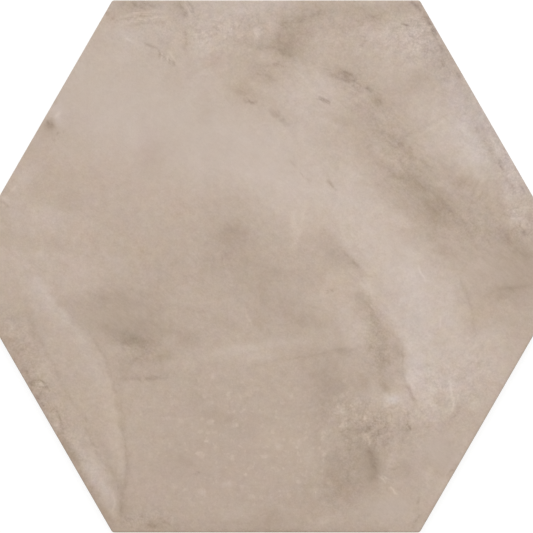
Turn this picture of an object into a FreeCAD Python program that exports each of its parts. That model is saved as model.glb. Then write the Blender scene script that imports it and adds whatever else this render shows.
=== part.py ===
"""A dry-pressed porcelain floor tile in the shape of a regular hexagon, fired as one solid piece.

The face is flat, with a rounded arris all round. The wall is upright beside the joint and slopes
in towards the back, so that the grout has room. The back has a flat rim round a honeycomb of
shallow keying pockets, which the adhesive fills. Pockets that the rim cuts are part pockets.

Frame, in millimetres: the back's rim lies on Z = 0 and the face is up. The origin is the middle
of the back, two corners of the hexagon lie on the X axis, and two of its flats face +Y and -Y.
"""

import FreeCAD
import Part
import math
import os

# The tile
ACROSS_FLATS = 216.0
THICKNESS = 9.0

# Its edges
CORNER_RADIUS = 1.5
ARRIS_RADIUS = 0.9
WALL_SLOPE_HEIGHT = 2.6
WALL_SLOPE_INSET = 0.8

# The keying pattern on its back
RIM_WIDTH = 9.0
POCKET_PITCH = 16.0
RIB_WIDTH = 2.4
POCKET_DEPTH = 0.7
POCKET_WALL_RUN = 0.5
SMALLEST_PART_POCKET = 0.15

# The cutting plugs start this far below the back, so that no cut ends flush with it
CUTTER_OVERRUN = 1.0

# A regular hexagon: half its width over the flats times REACH is the distance to a corner
SIDES = 6
HALF_TURN = math.pi / SIDES
REACH = 1 / math.cos(HALF_TURN)


def hexagon(half_flats, z, first_angle=0.0):
    """Corners of a hexagon round the Z axis at height z, half_flats from its centre to a flat."""
    angles = [first_angle + 2 * HALF_TURN * k for k in range(SIDES)]
    reach = half_flats * REACH
    return [FreeCAD.Vector(reach * math.cos(a), reach * math.sin(a), z) for a in angles]


def flat_face(points):
    """Planar face with these corners."""
    return Part.Face(Part.makePolygon(points + points[:1]))


def pressed_blank():
    """The tile with a plain back: upright wall, rounded corners, sloped lower wall and arris."""
    outline = flat_face(hexagon(ACROSS_FLATS / 2, 0.0))
    prism = outline.extrude(FreeCAD.Vector(0, 0, THICKNESS))
    corners = [edge for edge in prism.Edges if edge.BoundBox.ZLength > THICKNESS / 2]
    rounded = prism.makeFillet(CORNER_RADIUS, corners)
    back_edges = [edge for edge in rounded.Edges if edge.BoundBox.ZMax < THICKNESS / 2]
    sloped = rounded.makeChamfer(WALL_SLOPE_HEIGHT, WALL_SLOPE_INSET, back_edges)
    face_edges = [edge for edge in sloped.Edges if edge.BoundBox.ZMin > THICKNESS - ARRIS_RADIUS]
    return sloped.makeFillet(ARRIS_RADIUS, face_edges)


def plug(half_flats, first_angle=0.0):
    """Solid that cuts a hexagonal pocket with sloped walls, half_flats wide at the back's plane."""
    run_per_depth = POCKET_WALL_RUN / POCKET_DEPTH
    mouth = hexagon(half_flats + run_per_depth * CUTTER_OVERRUN, -CUTTER_OVERRUN, first_angle)
    floor = hexagon(half_flats - POCKET_WALL_RUN, POCKET_DEPTH, first_angle)
    faces = [flat_face(mouth), flat_face(floor)]
    for k in range(SIDES):
        beside = (k + 1) % SIDES
        faces.append(flat_face([mouth[k], mouth[beside], floor[beside], floor[k]]))
    return Part.Solid(Part.Shell(faces))


def pocket_centres(reach):
    """Centres of a honeycomb with one cell at the origin and rows along X, out to reach."""
    rows = math.ceil(reach / POCKET_PITCH) + 1
    centres = []
    for row in range(-rows, rows + 1):
        for column in range(-rows, rows + 1):
            x = (column + 0.5 * (row % 2)) * POCKET_PITCH
            y = row * POCKET_PITCH * math.sin(2 * HALF_TURN)
            if math.hypot(x, y) < reach:
                centres.append((x, y))
    return centres


def keying_pockets():
    """Plugs of all the pockets, cut to the rim's inner edge, without the smallest part pockets."""
    half_field = ACROSS_FLATS / 2 - WALL_SLOPE_INSET - RIM_WIDTH
    half_pocket = (POCKET_PITCH - RIB_WIDTH) / 2
    whole = plug(half_pocket, HALF_TURN)
    centres = pocket_centres(half_field * REACH + half_pocket)
    plugs = [whole.translated(FreeCAD.Vector(x, y, 0)) for x, y in centres]
    pockets = Part.makeCompound(plugs).common(plug(half_field))
    smallest = SMALLEST_PART_POCKET * whole.Volume
    return [pocket for pocket in pockets.Solids if pocket.Volume > smallest]


def hexagon_tile():
    """The pressed blank with its keying pockets cut into the back."""
    return pressed_blank().cut(Part.makeCompound(keying_pockets())).Solids[0]


os.makedirs("parts", exist_ok=True)
hexagon_tile().exportStep("parts/hexagon_tile.step")
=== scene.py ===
"""A hexagonal porcelain floor tile with a clouded matt face, lying on a plain pale floor in soft light.

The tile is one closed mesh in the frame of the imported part: its face is a hexagonal lattice with a slight
relief, its arris and wall are a profile carried round a rounded hexagon, and its back has keying pockets.
The clouding of the face is painted in millimetres, by strokes and noise, into attributes of the mesh,
and the materials add the grain that is finer than the mesh.
"""

import math

import bpy
import numpy as np
from bpy.props import FloatProperty, FloatVectorProperty, IntProperty, PointerProperty
from bpy.types import Operator, Panel, PropertyGroup
from mathutils import Euler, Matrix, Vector
from mathutils.geometry import delaunay_2d_cdt


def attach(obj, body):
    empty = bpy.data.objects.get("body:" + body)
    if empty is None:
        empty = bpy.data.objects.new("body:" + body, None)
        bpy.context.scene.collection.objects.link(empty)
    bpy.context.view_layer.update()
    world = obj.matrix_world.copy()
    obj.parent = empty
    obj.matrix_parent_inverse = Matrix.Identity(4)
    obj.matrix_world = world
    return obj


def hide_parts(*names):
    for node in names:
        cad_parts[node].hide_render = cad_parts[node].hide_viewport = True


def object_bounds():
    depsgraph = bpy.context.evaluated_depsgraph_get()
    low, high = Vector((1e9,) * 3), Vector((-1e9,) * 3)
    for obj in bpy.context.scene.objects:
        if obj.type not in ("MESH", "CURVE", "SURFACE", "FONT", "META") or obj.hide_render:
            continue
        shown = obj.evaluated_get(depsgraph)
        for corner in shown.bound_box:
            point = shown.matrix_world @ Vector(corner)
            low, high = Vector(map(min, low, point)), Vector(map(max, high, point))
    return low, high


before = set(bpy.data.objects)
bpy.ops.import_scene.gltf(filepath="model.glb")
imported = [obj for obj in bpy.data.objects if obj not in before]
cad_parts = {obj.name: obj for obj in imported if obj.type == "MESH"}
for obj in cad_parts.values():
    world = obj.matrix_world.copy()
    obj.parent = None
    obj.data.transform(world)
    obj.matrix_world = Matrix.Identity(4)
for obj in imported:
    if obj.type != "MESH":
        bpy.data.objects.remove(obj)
CAD_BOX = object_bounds()

bl_info = {
    "name": "Clouded hexagon tile",
    "version": (1, 0, 0),
    "blender": (4, 5, 0),
    "location": "View3D > Sidebar > Tile",
    "description": "Builds a hexagonal porcelain floor tile with a clouded face, and the stage that it lies on",
    "category": "Add Mesh",
}

MM = 0.001
NODE = "hexagon_tile"
BODY = "root"

# A regular hexagon: half its width over the flats times REACH is the distance to a corner
SIDES = 6
HALF_TURN = math.pi / SIDES
REACH = 1 / math.cos(HALF_TURN)


# Noise in the plane of the face

LATTICE = 256
GRADIENT_NOISE_RANGE = math.sqrt(2)
OCTAVE_TURN = (0.8, 0.6)


def noise(x, y, cell, seed):
    """Gradient noise of about -1 to 1: a random slope at each corner of a square lattice, eased between them."""
    angle = np.random.default_rng(seed).uniform(0.0, 2 * math.pi, (LATTICE, LATTICE))
    u = x / cell + LATTICE / 2
    v = y / cell + LATTICE / 2
    i = np.floor(u).astype(int)
    j = np.floor(v).astype(int)
    fu = u - i
    fv = v - j
    eu, ev = (f * f * f * (f * (f * 6 - 15) + 10) for f in (fu, fv))
    total = np.zeros(np.shape(x))
    for di, dj in ((0, 0), (1, 0), (0, 1), (1, 1)):
        a = angle[(i + di) % LATTICE, (j + dj) % LATTICE]
        slope = np.cos(a) * (fu - di) + np.sin(a) * (fv - dj)
        weight = (eu if di else 1 - eu) * (ev if dj else 1 - ev)
        total = total + slope * weight
    return total * GRADIENT_NOISE_RANGE


def fractal(x, y, cell, octaves, seed, gain=0.55):
    """Sum of octaves of noise, each half as coarse as the last, turned against it and gain times as strong."""
    cosine, sine = OCTAVE_TURN
    total = np.zeros(np.shape(x))
    weight = 1.0
    weights = 0.0
    for k in range(octaves):
        total = total + weight * noise(x, y, cell, seed + k)
        weights += weight
        x, y = cosine * x - sine * y, sine * x + cosine * y
        cell *= 0.5
        weight *= gain
    return total / weights


def smoke(x, y, degrees, stretch, cell, seed):
    """Fractal noise drawn out along a direction, its points shifted by coarser noise so that it curls."""
    a = math.radians(degrees)
    along_it = (x * math.cos(a) + y * math.sin(a)) / stretch
    across_it = y * math.cos(a) - x * math.sin(a)
    curl = 0.8 * cell * noise(along_it, across_it, 1.6 * cell, seed)
    return fractal(along_it + curl, across_it + curl, cell, 4, seed + 1, 0.75)


# Brushes: each gives, for points x, y of the face, how much a stroke adds there


def cloud(x, y, at_x, at_y, half_length, half_width, angle, amount):
    """Soft ellipse: amount times e to the minus q to the power 1.3, q the squared distance in half sizes."""
    a = math.radians(angle)
    along_it = (x - at_x) * math.cos(a) + (y - at_y) * math.sin(a)
    across_it = (y - at_y) * math.cos(a) - (x - at_x) * math.sin(a)
    q = (along_it / half_length) ** 2 + (across_it / half_width) ** 2
    return amount * np.exp(-(q**CLOUD_SHARPNESS))


# How steeply a cloud falls off at its rim
CLOUD_SHARPNESS = 1.3


def along(x, y, path):
    """Signed distance to the nearest point of a path, left of it positive, and the path's other columns there."""
    distance = np.full(np.shape(x), np.inf)
    side = np.ones(np.shape(x))
    columns = [np.zeros(np.shape(x)) for _ in path[0][2:]]
    for p, q in zip(path[:-1], path[1:]):
        dx = q[0] - p[0]
        dy = q[1] - p[1]
        t = np.clip(((x - p[0]) * dx + (y - p[1]) * dy) / (dx * dx + dy * dy), 0, 1)
        off_x = x - p[0] - t * dx
        off_y = y - p[1] - t * dy
        d = np.hypot(off_x, off_y)
        nearer = d < distance
        distance = np.where(nearer, d, distance)
        side = np.where(nearer, np.where(dx * off_y < dy * off_x, -1.0, 1.0), side)
        for k in range(len(columns)):
            columns[k] = np.where(nearer, p[k + 2] + t * (q[k + 2] - p[k + 2]), columns[k])
    return distance * side, columns


def sweep(x, y, right_share, path):
    """Soft band along a path of (x, y, half width, amount), its right half width right_share of its left one."""
    distance, (half_width, amount) = along(x, y, path)
    half_width = half_width * np.where(distance < 0, right_share, 1.0)
    return amount * np.exp(-((distance / half_width) ** 2))


def painted(x, y, ground, sweeps, clouds):
    """The ground value and every stroke of a layer."""
    total = np.full(np.shape(x), float(ground))
    for right_share, path in sweeps.values():
        total += sweep(x, y, right_share, path)
    for stroke in clouds:
        total += cloud(x, y, *stroke)
    return total


def scratched(x, y, thickness, strokes):
    """Signed distance to the nearest fine stroke in its half widths times thickness, and its strength there.

    A stroke is (half width, strength, points). Its strength falls to nothing at its ends and away from it.
    """
    nearest = np.full(np.shape(x), np.inf)
    signed = np.full(np.shape(x), SCRATCH_REACH)
    strength = np.zeros(np.shape(x))
    for half_width, most, points in strokes:
        steps = np.hypot(*np.diff(np.array(points), axis=0).T)
        shares = np.concatenate([[0], np.cumsum(steps)]) / steps.sum()
        distance, (share,) = along(x, y, [(*p, s) for p, s in zip(points, shares)])
        scaled = distance / (half_width * thickness)
        nearer = np.abs(scaled) < nearest
        nearest = np.where(nearer, np.abs(scaled), nearest)
        taper = np.sqrt(np.clip(4 * share * (1 - share), 0, 1))
        fade = np.clip(SCRATCH_REACH - np.abs(scaled), 0, 1)
        signed = np.where(nearer, scaled, signed)
        strength = np.where(nearer, most * taper * fade, strength)
    return signed, strength


# How many half widths of a fine stroke are kept on each side of it
SCRATCH_REACH = 5.0

# How the paint is spread: shifts in millimetres, direction in degrees and strengths of the noise in steps
WIDE_SHIFT = 1.0
FINE_SHIFT = 1.3
PULL = 5.0
PULL_FROM = 0.4
BRUSHED = -38
FEATHERED = 52
MOTTLE = 2.4
SMOKE = 2.6

# Strokes of the face. Places and sizes are in millimetres from its middle and tones in steps of an 8-bit brightness.
# A sweep is (right share, path of (x, y, half width, amount)), a cloud (x, y, half length, half width, angle, amount)
# and a fine stroke (half width, strength, points).

GROUND_TONE = 172.8
TONE_SWEEPS = {
    "pale upper field": (1, [(-92, 88, 26, 7), (-62, 68, 32, 10), (-30, 60, 34, 10.5), (0, 52, 26, 8.5), (16, 62, 17, 8.5)]),
    "pale upper right field": (1, [(30, 84, 22, 4), (60, 76, 24, 7), (92, 44, 22, 8), (104, 20, 20, 6)]),
    "pale arc": (1, [(-16, 46, 12, 5), (12, 34, 16, 11), (31, 25, 14, 14), (46, 8, 13, 15), (58, -8, 14, 15),
                     (66, -26, 13, 13), (68, -48, 12, 12)]),
    "pale right foot": (1, [(74, -18, 12, 7), (88, -40, 16, 9.5)]),
    "dark band": (1, [(34, 76, 8, -7), (45, 62, 9, -10), (53, 44, 9, -8), (65, 30, 11, -11), (80, 22, 12, -10),
                      (96, 14, 12, -9), (106, -2, 14, -12), (98, -14, 9, -4)]),
    "dark lower left": (1, [(-108, -22, 10, -5.5), (-96, -50, 9, -5), (-84, -76, 7, -3)]),
    "dark bottom": (1, [(-60, -108, 14, -9), (-30, -112, 10, -6), (0, -106, 11, -7), (40, -112, 9, -4)]),
    "trowel edge": (0.35, [(-58.6, -86, 1.6, 1), (-58.6, -80, 2.4, 5), (-60.5, -71, 3.2, 6), (-62.5, -62, 3.5, 5),
                           (-65.5, -48, 3.5, 5), (-70, -36, 4, 5.5), (-77, -26, 4, 6), (-86, -16, 4.2, 7),
                           (-93, -5, 5, 4), (-104, 9, 5, 2)]),
    # Painted shade of the raised trowel edge: a dark band along its foot, where the face is also sunk a little
    "painted shade beside the trowel edge": (1, [(-59.5, -50, 1.2, -3), (-58, -62, 1.2, -3), (-55.8, -76, 1.2, -4), (-56.6, -85, 1.4, -5.5),
                                   (-58.5, -92, 2.0, -6), (-57.5, -102, 2.2, -5)]),
    "pale strip": (1, [(-79, -71, 2.6, 6), (-73.5, -78, 3.8, 8), (-67.5, -87, 3.8, 9), (-63.5, -95, 2.8, 8.5), (-62, -100, 1.8, 5)]),
    # Dark along the lower left rim: partly chips and glaze, partly painted shade along the edge that faces away from
    # the light
    "lower left rim and its painted shade": (1, [(-106, -29.5, 1.2, -4), (-95, -48.5, 1.4, -8), (-89, -59, 1.2, -3), (-86, -64, 1.2, 0),
                           (-83, -69.5, 1.6, -10), (-78, -78, 1.8, -14), (-72, -88.5, 1.8, -15), (-66, -99, 1.4, -8),
                           (-63, -104, 1.0, -6)]),
    "upper right rim": (1, [(62.5, 106, 1.4, -8), (67.3, 96.5, 1.4, -6), (70.5, 90, 2, -2), (75.5, 81, 2, -1), (82, 70, 1.4, -3)]),
    "ridge": (1, [(28, -30, 1.4, 2), (9, -31, 1.8, 4), (-14, -34, 1.8, 4), (-34, -39.5, 2, 4), (-56, -42.5, 1.6, 3)]),
    "under the ridge": (1, [(33, -33.5, 0.9, -4), (18, -36.5, 1.6, -4), (4, -38.5, 1.5, -2), (-9, -41, 1.5, -2)]),
    "left of the arc's foot": (1, [(51, -17, 3, 3), (55.5, -25, 3, 6), (60, -33, 3, 6), (61.5, -42, 3, 6), (58, -47, 2, 4)]),
    "pale hook": (1, [(14.8, 23, 1.2, 2), (14.3, 15.6, 1.2, 2.5), (10, 6.5, 1.2, 2.5)]),
    "dark side of the arc": (2.5, [(25, 13.5, 1.2, -3), (31.6, 5.5, 1.5, -6), (38.4, -2.4, 1.2, -6), (41.7, -13.6, 1.2, -2),
                                   (47, -23, 1.2, -3), (53, -29.5, 1.2, -4), (54.7, -37, 1, -5), (55, -43, 0.8, -5),
                                   (57.6, -49.5, 0.8, -5), (60.5, -56, 0.8, -5)]),
    "lit side of the arc": (1, [(46, -12, 1.4, 1), (51, -22, 1.5, 2), (57.2, -30, 1.4, 1), (57.6, -43, 1.4, 2), (60.5, -48.5, 1.4, 2),
                                (63, -54, 1.4, 2)]),
    "beside the right edge": (1, [(84, 62, 1.2, -2), (86.5, 54.5, 1.8, -6), (92.5, 44.5, 2, -7), (98, 34.5, 1.6, -5),
                                  (104, 24, 1.3, -3)]),
    "along the right edge": (1, [(88.5, 58.5, 1.2, 2), (93.5, 50, 1.4, 1), (98, 42, 1.4, 1), (102.5, 33.5, 1.4, 1)]),
    "inside the left edge": (1, [(-94, -26, 1.8, -5), (-88, -38, 1.6, -4), (-78, -56, 1.2, -2), (-67.5, -70, 1.2, -3),
                                 (-64, -78, 1.4, -6), (-61.5, -85, 1.5, -8), (-59.5, -91, 1.4, -5)]),
    "lower right rim": (1, [(101, -37, 0.8, -1), (88, -60, 0.8, 0), (80, -74, 1.4, 4), (75, -82, 1.4, 5), (70, -91, 1.4, 4)]),
    # Dark along the bottom rim: partly glaze marks, partly painted shade along the edge that faces away from the light
    "bottom rim and its painted shade": (1, [(-62, -107.5, 1, -4), (-30, -107.4, 1, -2), (-10, -107.4, 1, -3), (2, -107.2, 1, -8), (17, -107.2, 1, -7),
                       (26, -107.4, 1, -2), (40, -107.2, 1.2, -4), (49, -106.4, 1.8, -8)]),
}
TONE_CLOUDS = [
    (-92, 8, 26, 22, 90, 6),
    (-84, 32, 12, 8, -10, -3),
    (-82, -40, 24, 12, -60, 2),
    (-20, -74, 34, 26, 60, -2),
    (36, -12, 14, 10, 90, 5),
    (80, 52, 14, 10, -40, 8),
    (56, 92, 12, 10, 0, 4),
    (-4, 76, 12, 10, 30, -5),
    (14, 74, 8, 8, 30, 4),
    (11, 95, 15, 9, 65, -11.5),
    (34, 106, 18, 6, 0, -7),
    (72, 82, 9, 6, 60, -5),
    (-16, 106, 16, 9, 10, 7),
    (-14, 8, 14, 10, 110, -7),
    (2, -10, 14, 8, -50, -6),
    (10, 20, 8, 6, -30, 3),
    (-56, -24, 17, 12, -40, -10),
    (-48, -36, 16, 12, -70, -5),
    (38, -80, 15, 11, 60, -13),
    (24.5, -50, 12, 8, 90, -9),
    (24, -92, 12, 10, 0, -5),
    (-6, -36, 13, 7, 5, 3),
    (60, -54, 14, 8, 0, 5),
    (52, -98, 9, 7, 10, 4),
    (-54, 106.5, 11, 3, 0, -7),
    (-89, 55.5, 4.5, 4, 0, -6),
    (30, 4, 8, 5, -35, -7),
    (46, -33, 11, 4.5, 95, -9),
    (42, -19, 5, 3, -50, -4),
    (44, -65, 5, 5, 0, -5),
    (43.2, -81, 8, 2.8, -84, -8),
    (55, -66, 5, 3, 0, -3),
    (32, 76, 9, 3.5, -28, -5),
    (60, 74, 8, 5, 20, -5),
    (68, 90, 10, 3.5, -60, -6),
    (70, 22, 8, 5, -40, -6),
    (60, 33, 10, 4, -38, -4),
    (-9, 70, 7, 5, -20, -4),
    (6, 61.5, 6, 2.5, -35, -3.5),
    (-45, 44, 8, 5, 80, -3.5),
    (-14, 13, 6, 4, 0, -6),
    (-36, -27, 9, 5, -40, -4.5),
    (-45, -12, 10, 6, 0, -3),
    (-78, -16, 8, 4, -10, -5),
    (-55, -29, 6, 3, -15, -7),
    (-62, -12, 6, 3, -20, -4),
    (-95, 10, 11, 4, 0, -4),
    (-94, -31, 9, 4, -55, -1),
    (-37, -80, 10, 5, 20, -3),
    (10, -18, 14, 9, -30, -2),
    (98, 12, 6, 4, -40, -6),
    (99, -9, 8, 2.5, 10, -6),
    (88, 56, 6, 3.5, -50, -4),
    (84, -20, 9, 5, 80, -4),
    (45.4, 67.2, 2.6, 2.4, 0, -7),
    (32.6, 77, 3.4, 2, -25, -8),
    (-35.5, 105, 4.2, 2.4, -55, -8),
    (10, 40, 7, 6, 0, -3),
    (-24, 61, 5, 3, 70, -2),
    (72, 40, 7, 3, -45, -3),
    (8, 107, 11, 3, 0, 6),
    (-55, 93, 10, 5, -10, 4),
    (-42, 87.5, 5, 3, 0, -3),
    (-23, 93, 9, 5, 10, 3.5),
    (4, 76, 6, 5, 60, 4),
    (-86, 63, 5, 3, 60, 5),
    (-101, 38, 6, 3, 60, 4),
    (-72, -1, 9, 4, -20, 3.5),
    (35, 42, 10, 5, -60, 4),
    (46, 24, 10, 5, -50, 4),
    (60, -2, 8, 5, -70, 4),
    (25, -10, 6, 5, 0, 5),
    (37, -26, 5, 4, 0, 5),
    (57, -41, 13, 3.5, 95, 5),
    (51, -54, 3.6, 2.4, 0, 14),
    (68, -72, 8, 5, -60, 3.5),
    (67, -90, 7, 4, 60, 3),
    (84, 43, 6, 4, -60, 5),
    (77, 30, 5, 4, 0, 3),
    (103, 21, 6, 3, -60, 5),
    (92, -30, 7, 4, 60, 3),
    (-12, -33.5, 13, 2, 4, 3),
    (-22, -44, 1.6, 1.4, 0, 8),
    (-16, -88, 2.0, 1.2, 0, 9),
    (-26, -92, 1.5, 1.2, 0, 10),
    (5, -73.5, 1.4, 1.2, 0, 8),
    (-46, -105, 5, 2, 0, -5),
    (2, -102, 5, 3, 60, -6),
    (-88, -39, 6, 4, -60, 3),
    (-22, 48, 16, 6, 0, -3),
    (-40, 0, 12, 7, 0, -2.5),
    (20, -42, 8, 6, 0, -3),
    (33, -50, 8, 6, 0, -4),
    (35.5, -67, 6, 5, 0, -6),
    (22, -61, 5, 4, 0, -4),
    (62, 78, 5, 4, 0, -4),
    (9, 88, 5, 4, 0, -5),
    (-45, 75, 12, 5, 0, -2),
    (-95, -3, 6, 3, 0, -3),
    (70, -24, 7, 4, 90, -2.5),
    (-35, -18, 5, 4, 0, -2),
    (36, 72, 5, 5, 0, 4),
    (51, 49, 9, 4, -60, 3),
    (69, 90, 9, 3, -60, 4),
    (98, 42, 7, 3, -60, 5),
    (98, 17, 4, 4, 0, 3),
    (73, -5, 6, 5, 0, 3),
    (-1, 95, 5, 4, 0, 3),
    (-2, 84, 6, 3, 0, 3),
    (66, -60, 6, 4, 0, 3),
    (-45, -52, 8, 6, 0, 2),
    (0, -98, 10, 3, 0, 2),
    (-60, 1, 5, 4, 0, 2.5),
    (-18, -62, 12, 4, -20, -4),
    (-87, 57, 3, 2.4, -60, -7),
    (-24, 63, 8, 4, 80, -2.5),
    (-73, -24, 4, 4, 0, -4),
    (-38, 76, 8, 5, 0, -2),
    (10, 86, 8, 3, 0, -2),
    (71, -33, 9, 4, 90, -3.5),
    (25, -92, 12, 5, 0, -3),
    (75, 6, 5, 3, 0, -3),
    (-75, -6, 6, 4, 0, 3),
    (-54, -33.5, 4, 3, 0, 5),
    (25, -17, 5, 4, 0, 3),
    (33, -22, 5, 5, 0, 3.5),
    (41, -31, 6, 3, -70, 5),
    (45, -55, 7, 4, -50, 3),
    (80, -70, 6, 3, 60, 3),
    (100, 33, 7, 2.6, -60, 5),
    (-2, 72.5, 5, 2.4, -20, 5),
    (30, 106.5, 24, 1.6, 0, 4),
    (-43, 96.5, 9, 3, 0, 3),
    (-25, 88.5, 6, 4, 20, 5),
    (-16, 95, 2.2, 5, -15, 6),
    (-3, 95.5, 2, 2.2, 0, 9),
    (2.5, 98, 3, 2.2, -40, 9),
    (-6, 104, 8, 2.2, 0, 4),
    (3, 84.5, 6, 2.2, 0, 9),
    (-21, 82.3, 5, 1.8, 5, -4.5),
    (0.5, 75.8, 4, 2.4, -30, -5),
    (-44, 75, 4, 5, 20, 3),
    (-65, 57, 6, 5, 0, 2.5),
    (-54, 53, 3, 6, 0, 3),
    (-29, 46, 5, 6, 0, 3),
    (-48, 45, 4, 6, 0, -2),
    (-4, 44, 6, 4, 0, -2.5),
    (44, 107, 8, 1.5, 0, 5),
    (11, 103.5, 6, 2, 0, 7),
    (33, 97.5, 5, 1.3, 10, -6),
    (44, 100.5, 5, 1.4, 15, -7),
    (20.5, 92.5, 5, 2, 10, 5),
    (46, 93.5, 6, 4, 0, 3.5),
    (64, 96, 2.2, 3, 0, 6),
    (58, 105.5, 5, 2, 0, -5),
    (27, 70, 4, 8, 35, 4),
    (41, 66.5, 2.5, 4, 20, 5),
    (31, 59, 6, 1.8, -20, -5),
    (49, 60, 5, 1.8, -20, 6),
    (46, 48, 2.5, 3.5, 0, 7),
    (55, 49, 3.5, 3.5, -40, -6),
    (65, 48, 4, 3, 30, 5),
    (53, 42, 6, 3, -40, 5),
    (6, 42, 5, 5, 0, -2),
    (33, 37, 4, 6, 10, 4),
    (72, 33, 4, 2, -35, 6),
    (80, 34, 3, 2.6, 0, -8),
    (66, 27.5, 5, 1.8, -40, 5),
    (53.5, 19.5, 3, 3, -40, 7),
    (58, 16.5, 4, 1.6, -10, 5),
    (68, 20.5, 2, 3.5, 20, -5),
    (67, 13, 4, 2.5, -50, -6),
    (73, 5, 5, 2, -45, -5),
    (84, 21.5, 6, 3, -10, 4),
    (101, 19.5, 2.5, 3, 0, 8),
    (107.5, 19, 1.5, 3, 0, -6),
    (106, 5, 3, 2, -40, -7),
    (98.5, 28.5, 3, 2.4, 0, 6),
    (59, 5.5, 6, 2, -30, 4.5),
    (87, 0.5, 4, 2, 0, 5.5),
    (40.5, -8, 3.6, 2.4, -60, 8),
    (38, -13.2, 3, 2.6, 0, -10),
    (95, -12, 6, 1.4, -5, -5),
    (97, -17.5, 3, 2, 0, 5),
    (-97, 36, 7, 2.6, 60, 6),
    (-106, 27, 2.2, 2.2, 0, 9),
    (-90, 20.5, 6, 3.5, 0, 3.5),
    (-80, 26, 6, 4, -10, -4),
    (-105, 12, 3.5, 3.5, 0, -5),
    (-83, 8.5, 6, 3.5, 0, -3.5),
    (-66.5, -13.5, 3.5, 2, -15, -6),
    (-96, -20.5, 3.5, 2.6, -50, -7),
    (-91, -26, 3, 5, 30, -3),
    (-104, -24, 2, 4, 0, 5),
    (-99.5, -26.5, 3, 2, 0, 5),
    (-54, -19.5, 5, 1.8, 10, 4.5),
    (-64.5, -26, 2, 3, 0, -4.5),
    (-54, -31, 5, 2.4, -10, -8),
    (-30.5, -28.5, 4, 3, 20, -5),
    (-39.5, -30.5, 3.5, 2.4, 0, 6),
    (-28, 36, 3, 7, 0, 2),
    (-14, 26.5, 7, 2, -5, -3.5),
    (11, 16.5, 2, 4.5, 0, 5),
    (31, 9, 5, 3, -30, 3.5),
    (32.5, 4.5, 3, 2, 0, 5),
    (27, -4.5, 3.5, 2, 0, 6),
    (-23, 0, 4, 6, 30, -4),
    (5, -1.5, 5, 2.4, -10, -5),
    (4.5, -12, 3, 6, -15, 4),
    (15, -11.5, 9, 3, -10, 3),
    (-17, -23, 7, 2, -20, -4),
    (-2.8, -23.5, 1.6, 4, 15, -7),
    (17, -22, 7, 2.4, -5, -4.5),
    (35, -30, 4, 3, -30, 5),
    (-61.5, -34.5, 4, 3, 0, 5),
    (-42.5, -36.8, 2.6, 1.4, 10, -8),
    (-57, -42, 2.5, 4, 0, -6),
    (-29, -51, 3, 7, 10, -3.5),
    (-80, -72, 2, 3, 30, -6),
    (-33, -79, 3.5, 2, -30, -5),
    (-56, -103, 5, 2, 0, 4.5),
    (-14, -99.5, 7, 3.5, 0, 4),
    (-3, -36.6, 9, 1.6, 3, 5),
    (31, -35, 4, 2.4, 0, -6),
    (29, -58.8, 3.2, 2.4, 0, 8),
    (40, -47.5, 1.8, 3.5, 25, -8),
    (48.7, -49.5, 2, 1.6, 0, -11),
    (54, -34, 1.6, 3.6, -10, -9),
    (41.8, -33.5, 1.4, 1.6, 0, -8),
    (20.5, -71, 1.6, 4, 10, -5.5),
    (56.3, -67.5, 4, 1.6, 62, -5),
    (51, -77.5, 2.2, 4, -10, 8),
    (56.5, -81.5, 3, 3.5, 30, -6),
    (27, -78, 3.6, 2.4, 0, -6),
    (27, -83, 3.5, 2.4, 20, -6),
    (17.5, -78, 2, 3, 0, 5),
    (19.5, -91.3, 2, 2.2, 0, 8),
    (12.5, -71.3, 2.6, 2.4, 0, 5),
    (2, -69.5, 5, 4, -30, 3.5),
    (25, -103, 7, 2.2, 5, 6.5),
    (71, -53.5, 2.4, 2.6, 0, -9.5),
    (85, -56.5, 2.6, 4, 20, 5),
    (75.5, -68.5, 3, 2, 0, 4.5),
    (65, -84, 2.6, 3.4, 20, 6.5),
    (-87.7, 57, 1.8, 2.4, 0, -8),
    (-84.5, 58.5, 2, 3, 0, 7),
    (-86, 67, 1.4, 2, -30, -8),
    (-60, 85.5, 6, 3.5, 20, 3.5),
    (8, 87.5, 3.2, 2.2, 0, -5),
    (48.2, -38.5, 4, 3, 90, -3),
    (48.3, -47, 3.4, 2, 90, -6),
    (58, 37, 6, 3.5, -40, -4),
    (88, 31, 5, 3, 40, -3),
    (-97, 2, 6, 2.5, -50, -3),
    (-36, 62, 26, 16, -20, -1),
    (69, 42, 4.2, 2.4, -30, 4.5),
    (-65, -82, 5, 1.3, 110, 5.5),
    (-60.1, -80, 6, 1, 90, -5),
    (-20.5, 93.5, 1.9, 1.5, 0, -8),
]

GROUND_GRAIN = 0.75
GRAIN_SWEEPS = {
    "smooth upper field": (1, [(-95, 70, 22, -0.3), (-50, 60, 28, -0.45), (-10, 48, 18, -0.45), (20, 32, 12, -0.25)]),
    "top": (1, [(-60, 104, 6, 0.4), (-26, 94, 11, 0.4), (-5, 99, 10, 0.5), (20, 98, 10, 0.4), (60, 96, 10, 0.7)]),
    "upper right edge": (1, [(64, 96, 8, 0.7), (80, 70, 8, 0.4), (98, 42, 6, 0.8), (105, 18, 6, 0.8)]),
    "dark band": (1, [(34, 76, 6, 0.6), (46, 62, 7, 0.4), (60, 34, 8, 0.6), (72, 22, 8, 0.6), (98, 10, 8, 0.5)]),
    "lower right": (1, [(30, -58, 8, 0.5), (43, -65, 8, 1.4), (37, -79, 9, 0.7), (28, -92, 8, 0.4)]),
    "right foot": (1, [(68, -48, 10, 0.6), (88, -45, 9, 0.4), (60, -66, 8, 0.6)]),
    "lower left edge": (1, [(-104, -25, 8, 0.5), (-94, -48, 6, 0.9), (-84, -66, 6, 0.8), (-70, -90, 5, 0.5)]),
}
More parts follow.
